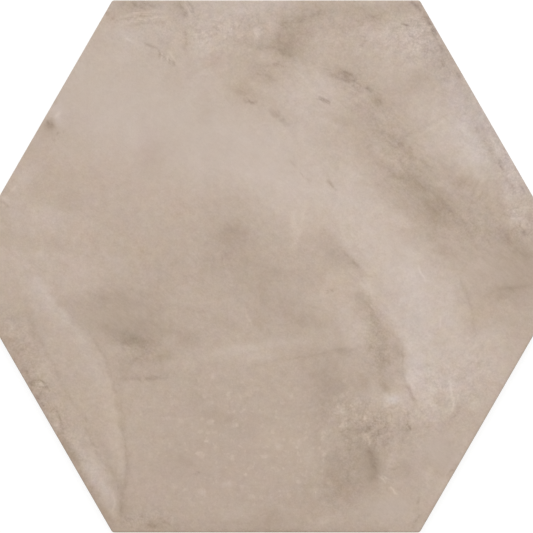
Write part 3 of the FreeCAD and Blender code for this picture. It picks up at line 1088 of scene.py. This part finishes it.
class Nodes:
    """Short calls that add and join the nodes of one material."""

    def __init__(self, name):
        self.material = bpy.data.materials.new(name)
        self.material.use_nodes = True
        self.tree = self.material.node_tree
        self.tree.nodes.clear()

    def add(self, kind, **settings):
        node = self.tree.nodes.new(kind)
        for key, value in settings.items():
            setattr(node, key, value)
        return node

    def feed(self, socket, value):
        if isinstance(value, bpy.types.NodeSocket):
            self.tree.links.new(value, socket)
        else:
            socket.default_value = value

    def math(self, operation, a, b=0.0, clamp=False):
        node = self.add("ShaderNodeMath", operation=operation, use_clamp=clamp)
        self.feed(node.inputs[0], a)
        self.feed(node.inputs[1], b)
        return node.outputs[0]

    def total(self, *terms):
        """Sum of the terms, each a socket or a (socket, factor) pair."""
        sockets = [self.math("MULTIPLY", *term) if isinstance(term, tuple) else term for term in terms]
        result = sockets[0]
        for socket in sockets[1:]:
            result = self.math("ADD", result, socket)
        return result

    def vector(self, operation, a, b):
        node = self.add("ShaderNodeVectorMath", operation=operation)
        self.feed(node.inputs[0], a)
        self.feed(node.inputs["Scale" if operation == "SCALE" else 1], b)
        return node.outputs[0]

    def attribute(self, name):
        return self.add("ShaderNodeAttribute", attribute_type="GEOMETRY", attribute_name=name).outputs["Fac"]

    def place(self):
        return self.add("ShaderNodeTexCoord").outputs["Object"]

    def turned(self, where, degrees, stretch):
        """Places turned about Z and squeezed along the turned X, which draws a pattern out along it."""
        node = self.add("ShaderNodeMapping", vector_type="TEXTURE")
        self.feed(node.inputs["Vector"], where)
        self.feed(node.inputs["Rotation"], (0, 0, math.radians(degrees)))
        self.feed(node.inputs["Scale"], (stretch, 1, 1))
        return node.outputs[0]

    def speckle(self, where, size, detail=2.0, rough=0.5):
        """Noise of about -1 to 1 with lumps of that size, in metres."""
        node = self.add("ShaderNodeTexNoise", noise_dimensions="3D")
        self.feed(node.inputs["Vector"], where)
        self.feed(node.inputs["Scale"], 1 / size)
        self.feed(node.inputs["Detail"], detail)
        self.feed(node.inputs["Roughness"], rough)
        centred = self.math("SUBTRACT", node.outputs["Fac"], 0.5)
        return self.math("MULTIPLY", centred, 4.0)

    def spot(self, where, size, widest):
        """Round spots scattered in cells of that size, one where full: random radii up to widest, in cells."""
        node = self.add("ShaderNodeTexVoronoi", voronoi_dimensions="2D")
        self.feed(node.inputs["Vector"], where)
        self.feed(node.inputs["Scale"], 1 / size)
        chance = self.math("POWER", node.outputs["Color"], 1.5)
        radius = self.math("MULTIPLY", chance, widest)
        return self.math("MULTIPLY", self.math("SUBTRACT", radius, node.outputs["Distance"]), 6.0, clamp=True)

    def warped(self, where, size, amount):
        """Places shifted to and fro by up to about amount, by noise with lumps of that size."""
        node = self.add("ShaderNodeTexNoise", noise_dimensions="3D")
        self.feed(node.inputs["Vector"], where)
        self.feed(node.inputs["Scale"], 1 / size)
        centred = self.vector("SUBTRACT", node.outputs["Color"], (0.5, 0.5, 0.5))
        return self.vector("ADD", self.vector("SCALE", centred, 4 * amount), where)

    def cells(self, where, size):
        """Borders of irregular cells of about that size: one on a border, zero from a quarter of a cell off it."""
        node = self.add("ShaderNodeTexVoronoi", voronoi_dimensions="2D", feature="DISTANCE_TO_EDGE")
        self.feed(node.inputs["Vector"], where)
        self.feed(node.inputs["Scale"], 1 / size)
        return self.math("SUBTRACT", 1.0, self.math("MULTIPLY", node.outputs["Distance"], 4.0), clamp=True)

    def bell(self, value):
        """One where the value is zero, falling off as e to the minus its square."""
        squared = self.math("MULTIPLY", value, value)
        return self.math("POWER", math.exp(-1), squared)

    def ramp(self, share, stops):
        node = self.add("ShaderNodeValToRGB")
        self.feed(node.inputs["Fac"], share)
        elements = node.color_ramp.elements
        while len(elements) < len(stops):
            elements.new(1.0)
        for element, (position, colour) in zip(elements, stops):
            element.position = position
            element.color = (*colour, 1.0)
        return node.outputs["Color"]

    def bump(self, height, distance, strength):
        node = self.add("ShaderNodeBump")
        self.feed(node.inputs["Height"], height)
        node.inputs["Distance"].default_value = distance
        node.inputs["Strength"].default_value = strength
        return node.outputs["Normal"]

    def surface(self, **sockets):
        shader = self.add("ShaderNodeBsdfPrincipled")
        for name, value in sockets.items():
            self.feed(shader.inputs[name.replace("_", " ")], value)
        out = self.add("ShaderNodeOutputMaterial")
        self.tree.links.new(shader.outputs[0], out.inputs["Surface"])
        return self.material


def glaze_material(finish):
    """Matt glaze: the painted tone, grain and fine strokes pick the shade, and the lilac layer tints it."""
    n = Nodes("matt_clouded_glaze")
    where = n.place()
    mottle = n.speckle(where, 3.2 * MM, detail=3.0, rough=0.75)
    fine = n.speckle(where, 0.9 * MM, detail=2.0, rough=0.7)
    grain = n.math("MULTIPLY", n.total((mottle, 7.0), (fine, 6.5)), n.attribute("grain"))
    brushed = n.speckle(n.turned(where, BRUSHED, 3.5), 1.4 * MM, detail=3.0, rough=0.75)
    streak = n.math("MULTIPLY", n.attribute("streak"), n.math("MULTIPLY", brushed, 5.0))
    patchy = n.math("MULTIPLY_ADD", n.speckle(where, 2.5 * MM, detail=2.0, rough=0.6), 1.6)
    patchy.node.inputs[2].default_value = 0.6
    patchy.node.use_clamp = True
    bent = n.warped(where, 2.0 * MM, 0.8 * MM)
    spots = n.total((n.spot(bent, 2.9 * MM, 0.6), 8.0), (n.spot(bent, 6.3 * MM, 0.4), 9.0))
    spots = n.math("MULTIPLY", n.math("MULTIPLY", spots, patchy), n.attribute("spots"))
    borders = n.math("SUBTRACT", 0.3, n.cells(bent, 3.0 * MM))
    cells = n.math("MULTIPLY", n.math("MULTIPLY", borders, patchy), n.math("MULTIPLY", n.attribute("cells"), 10.0))
    feathered = n.speckle(n.turned(where, FEATHERED, 3.5), 1.9 * MM, detail=2.0, rough=0.7)
    feather = n.math("MULTIPLY", n.attribute("feather"), n.math("MULTIPLY", feathered, 7.0))
    flecks = n.math("MULTIPLY_ADD", n.speckle(n.turned(where, BRUSHED, 2.2), 1.5 * MM, detail=3.0, rough=0.7), 1.1)
    flecks.node.inputs[2].default_value = 0.8
    flecks.node.use_clamp = True
    dark = n.math("MULTIPLY", n.bell(n.attribute("dark")), n.attribute("dark_strength"))
    dark = n.math("MULTIPLY", dark, flecks)
    pale = n.math("MULTIPLY", n.bell(n.attribute("pale")), n.attribute("pale_strength"))
    detail = n.total(grain, streak, spots, cells, feather, pale, (dark, -1.0))
    low, high = TONE_RANGE
    share = n.math("DIVIDE", n.math("SUBTRACT", n.attribute("tone"), low), high - low, clamp=True)
    shade = n.ramp(share, [((step - low) / (high - low), colour) for step, colour in SHADES])
    tinted = n.math("MINIMUM", n.attribute("grain"), 1.0)
    blue = n.math("MULTIPLY", n.speckle(where, 8 * MM, detail=2.0, rough=0.9), tinted)
    red = n.math("MULTIPLY", n.speckle(n.turned(where, 60, 1), 9 * MM, detail=2.0, rough=0.85), tinted)
    lilac = n.total(n.attribute("lilac"), (blue, 0.8))
    pink = n.total(n.attribute("pink"), (red, 2.2))
    tint = (1, 1, 1)
    for amount, shift in ((detail, GREY_STEP), (lilac, LILAC_SHIFT), (pink, PINK_SHIFT)):
        tint = n.vector("ADD", n.vector("SCALE", shift, amount), tint)
    colour = n.vector("MULTIPLY", shade, tint)
    return n.surface(Base_Color=colour, Roughness=finish.roughness, Normal=n.bump(fine, 0.02 * MM, 0.6))


def biscuit_material(finish):
    """Unglazed fired clay: fine sandy specks in its colour and its surface."""
    n = Nodes("fired_biscuit")
    where = n.place()
    sand = n.speckle(where, 0.5 * MM)
    patches = n.speckle(where, 9 * MM, detail=3.0)
    share = n.math("ADD", n.math("MULTIPLY", sand, 0.2), n.math("MULTIPLY", patches, 0.25))
    share = n.math("ADD", share, 0.5, clamp=True)
    dark = tuple(0.9 * v for v in finish.biscuit)
    pale = tuple(1.08 * v for v in finish.biscuit)
    colour = n.ramp(share, [(0.0, dark), (1.0, pale)])
    return n.surface(Base_Color=colour, Roughness=0.85, Normal=n.bump(sand, 0.05 * MM, 0.8))


# What a user can change


def length(name, description, default):
    """Length property, in metres."""
    return FloatProperty(name=name, description=description, default=default, min=0.0, subtype="DISTANCE", unit="LENGTH")


class TileSizes(PropertyGroup):
    """Sizes of the tile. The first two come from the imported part."""

    half_flats: length("Half width", "From the middle to a flat side", (CAD_BOX[1].y - CAD_BOX[0].y) / 2)
    thickness: length("Thickness", "From the back's rim to the face", CAD_BOX[1].z - CAD_BOX[0].z)
    corner_radius: length("Corner radius", "Radius of the six corners, seen from above", 1.5 * MM)
    arris_radius: length("Arris radius", "Radius of the edge between face and wall", 0.9 * MM)
    wall_slope_height: length("Slope height", "Height of the sloping lower wall", 2.6 * MM)
    wall_slope_inset: length("Slope inset", "How far the lower wall slopes in", 0.8 * MM)
    rim_width: length("Rim width", "Flat rim round the pockets of the back", 9.0 * MM)
    pocket_pitch: length("Pocket pitch", "From one keying pocket to the next", 16.0 * MM)
    rib_width: length("Rib width", "Between two keying pockets", 2.4 * MM)
    pocket_depth: length("Pocket depth", "Depth of the keying pockets", 0.7 * MM)
    pocket_wall_run: length("Pocket wall run", "How far a pocket's wall slopes in", 0.5 * MM)
    face_rings: IntProperty(name="Face rings", description="Rings of the face's lattice", default=146, min=10)


class TileFinish(PropertyGroup):
    """Finish of the glaze and of the unglazed clay."""

    roughness: FloatProperty(name="Glaze roughness", description="Of the matt glaze", default=0.62, min=0, max=1)
    biscuit: FloatVectorProperty(
        name="Biscuit", description="Colour of the unglazed clay", default=srgb(186, 176, 163), subtype="COLOR", min=0, max=1
    )


class StageSettings(PropertyGroup):
    """Floor, light and camera."""

    frame_width: length("Frame width", "Width of the picture on the face of the tile", 216.05 * MM)
    off_centre: FloatVectorProperty(
        name="Off centre", description="Where the picture's middle is", default=(0.19 * MM, -0.045 * MM), size=2,
        subtype="TRANSLATION", unit="LENGTH"
    )
    lens: FloatProperty(name="Lens", description="Focal length", default=100.0, min=1, unit="CAMERA")
    sky: FloatProperty(name="Sky", description="Strength of the even light from all round", default=0.55, min=0)
    key: FloatProperty(name="Key light", description="Strength of the broad light behind the tile", default=1.5, min=0)


# Operators


def build_mesh(name, vertices, polygons, material_numbers):
    """Mesh of a table of corners and, for each sort of face, a table with a row of corner numbers a face."""
    mesh = bpy.data.meshes.new(name)
    mesh.vertices.add(len(vertices))
    mesh.vertices.foreach_set("co", vertices.astype(np.float32).reshape(-1))
    corner_count = np.concatenate([np.full(len(p), p.shape[1]) for p in polygons])
    corners = np.concatenate([p.reshape(-1) for p in polygons])
    mesh.loops.add(len(corners))
    mesh.loops.foreach_set("vertex_index", corners.astype(np.int32))
    mesh.polygons.add(len(corner_count))
    first = np.concatenate([[0], np.cumsum(corner_count)[:-1]])
    mesh.polygons.foreach_set("loop_start", first.astype(np.int32))
    mesh.polygons.foreach_set("loop_total", corner_count.astype(np.int32))
    numbers = np.concatenate([np.full(len(p), k) for p, k in zip(polygons, material_numbers)])
    mesh.polygons.foreach_set("material_index", numbers.astype(np.int32))
    mesh.update(calc_edges=True)
    mesh.validate(verbose=False)
    mesh.shade_smooth()
    mesh.set_sharp_from_angle(angle=math.radians(50))
    return mesh


def add_attribute(mesh, name, values):
    """Float attribute of the mesh's corners."""
    attribute = mesh.attributes.new(name, "FLOAT", "POINT")
    attribute.data.foreach_set("value", values.astype(np.float32))


def tile_shape(sizes):
    """Corners of the tile and its faces in tables: glazed triangles and quads, then those of the bare clay."""
    rings = sizes.face_rings
    corner_steps = 5
    flat = lattice_points(rings, sizes.half_flats - sizes.arris_radius - 0.4 * MM)
    face = np.column_stack([flat, np.full(len(flat), sizes.thickness)])
    points, directions = rounded_path(sizes.half_flats, sizes.corner_radius, rings, corner_steps)
    count = len(points)
    arris_end = (0.0, sizes.thickness - sizes.arris_radius)
    arris = quarter_turn((sizes.arris_radius, sizes.thickness), arris_end, 6)
    arris_grid = carried(points, directions, sizes.corner_radius, arris)
    wall = [(0.0, h) for h in np.linspace(arris_end[1], sizes.wall_slope_height, 4)]
    foot = [
        (sizes.wall_slope_inset * 0.5, sizes.wall_slope_height * 0.5),
        (sizes.wall_slope_inset - 0.06 * MM, 0.2 * MM),
        (sizes.wall_slope_inset, 0.06 * MM),
        (sizes.wall_slope_inset + 0.15 * MM, 0.0),
    ]
    wall_grid = carried(points, directions, sizes.corner_radius, wall[1:] + foot)
    vertices = np.concatenate([face, arris_grid.reshape(-1, 3), wall_grid.reshape(-1, 3)])
    first = len(face)
    triangles = lattice_triangles(rings)
    # The lattice's last ring meets the arris: its sides step by step, its corners as fans
    side, step = (a.reshape(-1) for a in np.mgrid[0:SIDES, 0:rings])
    inner = lattice_number(np.full(side.shape, rings), side * rings + step)
    inner_next = lattice_number(np.full(side.shape, rings), side * rings + step + 1)
    outer = first + side * (rings + corner_steps) + step
    belt = np.stack([inner, outer, outer + 1, inner_next], axis=1)
    side, step = (a.reshape(-1) for a in np.mgrid[0:SIDES, 0:corner_steps])
    hub = lattice_number(np.full(side.shape, rings), (side + 1) * rings)
    around = side * (rings + corner_steps) + rings + step
    fans = np.stack([hub, first + around, first + (around + 1) % count], axis=1)
    arris_quads = loop_quads(len(arris), count, first)
    wall_rows = len(wall) + len(foot)
    wall_first = first + (len(arris) - 1) * count
    wall_quads = loop_quads(wall_rows, count, wall_first)
    back_vertices, back_quads, back_triangles, floors = back_shape(sizes, vertices[-count:], len(vertices))
    vertices = np.concatenate([vertices, back_vertices])
    glazed = [triangles, fans, belt, arris_quads]
    bare = [wall_quads, back_quads, back_triangles] + floors
    return vertices, glazed, bare


def back_shape(sizes, rim_loop, start):
    """Corners and faces of the back inside its outermost loop, whose corners are the last ones before start."""
    moved, distances, angles, inside, whole = pocket_layout(sizes)
    profile = [(-0.12 * MM, 0.0), (0.02 * MM, 0.06 * MM), (0.42 * MM, 0.6 * MM),
               (sizes.pocket_wall_run + 0.2 * MM, sizes.pocket_depth)]
    roundness = 28
    corner_angles = 2 * HALF_TURN * (np.arange(SIDES)[:, None] + 0.5) + np.radians([-7, 0, 7])[None, :]
    even_angles = np.linspace(0, 2 * math.pi, 36, endpoint=False)
    vertices, quads, floors, loops = [], [], [], []
    number = start
    for chosen, directions in ((whole, corner_angles.reshape(-1)), (inside & ~whole, even_angles)):
        near = pocket_reach(distances[chosen], angles, directions, 0.0, roundness)
        area = 0.5 * (near**2).mean(axis=1)
        kept = area > 0.0
        if chosen is not whole:
            limit = 0.15 * 0.5 * (((sizes.pocket_pitch - sizes.rib_width) / 2) ** 2) * 1.1
            kept = area > limit
        middle = moved[chosen][kept]
        walls = distances[chosen][kept]
        out = np.stack([np.cos(directions), np.sin(directions)], axis=1)
        rows = []
        for inset, height in profile:
            reach = pocket_reach(walls, angles, directions, inset, roundness)
            xy = middle[:, None, :] + reach[..., None] * out[None]
            rows.append(np.concatenate([xy, np.full(xy.shape[:2] + (1,), height)], axis=2))
        grid = np.stack(rows, axis=1)
        pockets, levels, count = grid.shape[:3]
        base = number + np.arange(pockets) * levels * count
        quad = loop_quads(levels, count, 0)
        quads.append((base[:, None, None] + quad[None]).reshape(-1, 4))
        floors.append(base[:, None] + (levels - 1) * count + np.arange(count)[None, ::-1])
        loops.append(base[:, None] + np.arange(count)[None])
        vertices.append(grid.reshape(-1, 3))
        number += pockets * levels * count
    vertices = np.concatenate(vertices)
    # The flat between the rim's loop and the pockets' mouths is triangulated with both as fixed edges, and what
    # lies in a pocket's mouth, with all three corners on the same loop, is left out. For this the rim's sides
    # bulge by a little, so that no triangle has its three corners on one straight side
    loop_numbers = [np.arange(start - len(rim_loop), start)] + [row for table in loops for row in table]
    used = np.concatenate(loop_numbers)
    from_middle = np.linalg.norm(rim_loop[:, :2], axis=1, keepdims=True)
    bulged = rim_loop[:, :2] * (1 + RIM_BULGE * (1 - from_middle / from_middle.max()))
    flat = np.concatenate([bulged, vertices[:, :2]])[used - loop_numbers[0][0]]
    lengths = np.array([len(loop) for loop in loop_numbers])
    owner = np.repeat(np.arange(len(lengths)), lengths)
    begins = np.cumsum(lengths) - lengths
    here = np.arange(len(used))
    beside = begins[owner] + (here - begins[owner] + 1) % lengths[owner]
    made = delaunay_2d_cdt([Vector(p) for p in flat.tolist()], list(zip(here.tolist(), beside.tolist())), [], 0, 1e-9)
    triangles = np.array([source[0] for source in made[3]])[np.array(made[2])]
    owners = owner[triangles]
    in_pocket = (owners[:, 0] > 0) & (owners == owners[:, :1]).all(axis=1)
    triangles = used[triangles[~in_pocket]]
    return vertices, np.concatenate(quads), triangles[:, ::-1], floors


class TILE_OT_build_tile(Operator):
    """Build the tile: its face, arris, wall and keying back as one closed piece"""

    bl_idname = "hexagon_tile.build_tile"
    bl_label = "Hexagon tile"

    def execute(self, context):
        sizes = context.scene.tile_sizes
        finish = context.scene.tile_finish
        vertices, glazed, bare = tile_shape(sizes)
        x = vertices[:, 0] / MM
        y = vertices[:, 1] / MM
        glaze_numbers = np.unique(np.concatenate([p.reshape(-1) for p in glazed]))
        depth = np.zeros(len(vertices))
        depth[glaze_numbers] = face_depth(x[glaze_numbers], y[glaze_numbers], sizes.half_flats / MM)
        top = np.clip((vertices[:, 2] - (sizes.thickness - sizes.arris_radius)) / sizes.arris_radius, 0, 1)
        vertices[:, 2] -= top * depth * MM
        mesh = build_mesh("clouded_tile", vertices, glazed + bare, [0] * len(glazed) + [1] * len(bare))
        for name, values in face_layers(x, y).items():
            add_attribute(mesh, name, values)
        mesh.materials.append(glaze_material(finish))
        mesh.materials.append(biscuit_material(finish))
        tile = bpy.data.objects.new("clouded_tile", mesh)
        context.scene.collection.objects.link(tile)
        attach(tile, BODY)
        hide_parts(NODE)
        return {"FINISHED"}


class TILE_OT_build_stage(Operator):
    """Build the floor, the light and the camera"""

    bl_idname = "hexagon_tile.build_stage"
    bl_label = "Stage"

    def execute(self, context):
        scene = context.scene
        stage = scene.tile_stage
        half = 2.0
        corners = [(-half, -half, 0), (half, -half, 0), (half, half, 0), (-half, half, 0)]
        mesh = bpy.data.meshes.new("floor")
        mesh.from_pydata(corners, [], [(0, 1, 2, 3)])
        floor = bpy.data.objects.new("floor", mesh)
        mesh.materials.append(floor_material())
        scene.collection.objects.link(floor)

        world = bpy.data.worlds.new("studio")
        world.use_nodes = True
        background = world.node_tree.nodes["Background"]
        background.inputs["Color"].default_value = (1, 1, 1, 1)
        background.inputs["Strength"].default_value = stage.sky
        scene.world = world

        key_data = bpy.data.lights.new("key", "SUN")
        key_data.energy = stage.key
        key_data.angle = math.radians(40)
        key = bpy.data.objects.new("key", key_data)
        key.rotation_euler = Euler((math.radians(-28), 0, 0))
        scene.collection.objects.link(key)

        camera_data = bpy.data.cameras.new("camera")
        camera_data.lens = stage.lens
        camera_data.sensor_width = 36
        camera = bpy.data.objects.new("camera", camera_data)
        distance = stage.frame_width * stage.lens / camera_data.sensor_width
        camera.location = (*stage.off_centre, CAD_BOX[1].z + distance)
        camera_data.clip_start = 0.01
        scene.collection.objects.link(camera)
        scene.camera = camera
        scene.view_settings.view_transform = "Standard"
        return {"FINISHED"}


def floor_material():
    """Pale floor: to the camera its light is lifted to white, and the tile's shadow stays on it."""
    n = Nodes("pale_floor")
    path = n.add("ShaderNodeLightPath")
    seen = n.math("MAXIMUM", path.outputs["Is Camera Ray"], path.outputs["Is Glossy Ray"])
    seen = n.math("MAXIMUM", seen, path.outputs["Is Transmission Ray"])
    diffuse = n.add("ShaderNodeBsdfDiffuse")
    diffuse.inputs["Color"].default_value = (0.8, 0.8, 0.8, 1)
    dim = n.add("ShaderNodeBsdfDiffuse")
    dim.inputs["Color"].default_value = (0.3, 0.3, 0.3, 1)
    glow = n.add("ShaderNodeEmission")
    glow.inputs["Strength"].default_value = 0.76
    lifted = n.add("ShaderNodeAddShader")
    n.feed(lifted.inputs[0], dim.outputs[0])
    n.feed(lifted.inputs[1], glow.outputs[0])
    mixed = n.add("ShaderNodeMixShader")
    n.feed(mixed.inputs[0], seen)
    n.feed(mixed.inputs[1], diffuse.outputs[0])
    n.feed(mixed.inputs[2], lifted.outputs[0])
    out = n.add("ShaderNodeOutputMaterial")
    n.feed(out.inputs["Surface"], mixed.outputs[0])
    return n.material


class TILE_PT_panel(Panel):
    """Lists the tile's and the stage's operators and sizes."""

    bl_label = "Hexagon tile"
    bl_idname = "VIEW3D_PT_hexagon_tile"
    bl_space_type = "VIEW_3D"
    bl_region_type = "UI"
    bl_category = "Tile"

    def draw(self, context):
        layout = self.layout
        for operator in OPERATORS:
            layout.operator(operator.bl_idname)
        for group in (context.scene.tile_sizes, context.scene.tile_finish, context.scene.tile_stage):
            box = layout.box()
            for name in group.bl_rna.properties.keys():
                if name not in ("rna_type", "name"):
                    box.prop(group, name)


GROUPS = {"tile_sizes": TileSizes, "tile_finish": TileFinish, "tile_stage": StageSettings}
OPERATORS = (TILE_OT_build_tile, TILE_OT_build_stage)


def register():
    """Registers the classes and gives the scene its groups of settings."""
    for group in GROUPS.values():
        bpy.utils.register_class(group)
    for name, group in GROUPS.items():
        setattr(bpy.types.Scene, name, PointerProperty(type=group))
    for operator in OPERATORS:
        bpy.utils.register_class(operator)
    bpy.utils.register_class(TILE_PT_panel)


def unregister():
    """Takes back what register did."""
    bpy.utils.unregister_class(TILE_PT_panel)
    for operator in reversed(OPERATORS):
        bpy.utils.unregister_class(operator)
    for name in GROUPS:
        delattr(bpy.types.Scene, name)
    for group in reversed(GROUPS.values()):
        bpy.utils.unregister_class(group)


def main():
    """Builds the tile and the stage."""
    register()
    bpy.ops.hexagon_tile.build_tile()
    bpy.ops.hexagon_tile.build_stage()


if __name__ == "__main__":
    main()
